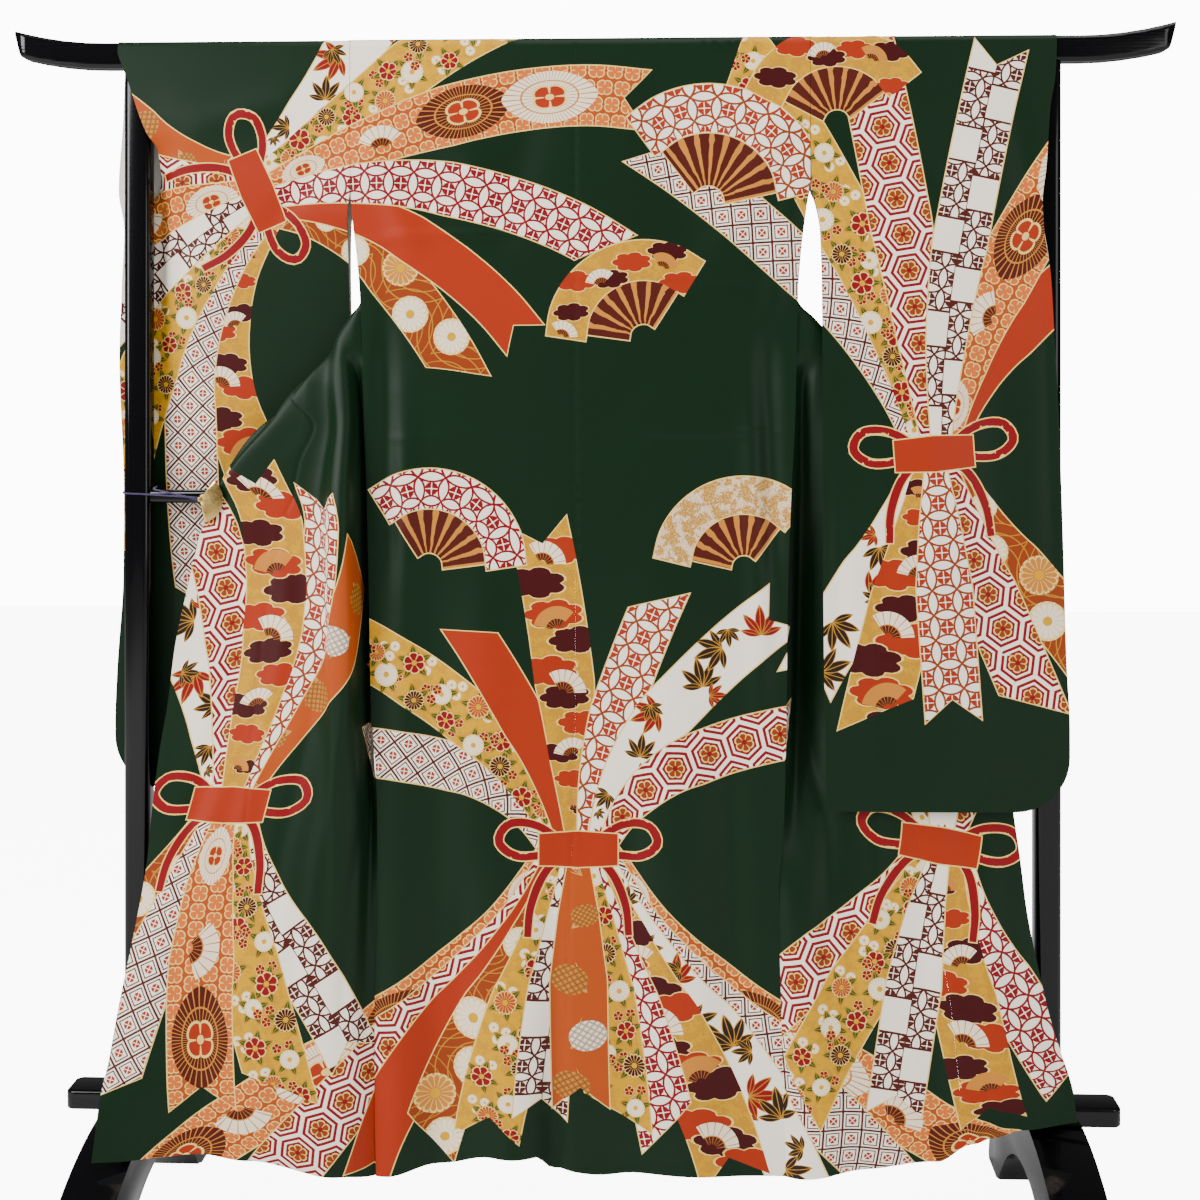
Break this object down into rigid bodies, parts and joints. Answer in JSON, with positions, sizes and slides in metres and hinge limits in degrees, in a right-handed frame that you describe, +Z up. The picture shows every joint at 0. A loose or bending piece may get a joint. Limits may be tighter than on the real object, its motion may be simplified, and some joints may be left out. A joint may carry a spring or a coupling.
{
  "type": "furisode kimono on a lacquered kimono stand",
  "caption": "Long-sleeved silk kimono draped over a black lacquered stand with its back to the front, the left front drawn out and held by a small fan clip.",
  "frame": {"origin": "on the floor under the middle of the stand, centre of the bounding box's bottom face", "axes": "+Z up, the kimono's back faces -Y, +X runs along the stand towards the wearer's right side"},
  "size_m": [1.644, 0.6, 1.7215],
  "materials": {
    "lacquer": "high gloss black lacquer",
    "silk_green": "satin",
    "silk_printed": "satin",
    "gilt": "polished",
    "violet_cord": "matt"
  },
  "bodies": {
    "root": {"top_bar": "lacquer", "left_post": "lacquer", "right_post": "lacquer", "middle_rail": "lacquer", "lower_beam": "lacquer", "left_foot": "lacquer", "right_foot": "lacquer", "body_left": "silk_green", "body_right": "silk_green", "okumi_left": "silk_printed", "okumi_right": "silk_printed", "collar": "silk_green", "sleeve_left": "silk_printed", "sleeve_right": "silk_printed", "clip_fan": "gilt", "clip_pin": "gilt", "clip_jaw": "gilt", "clip_cord": "violet_cord"}
  },
  "joints": []
}
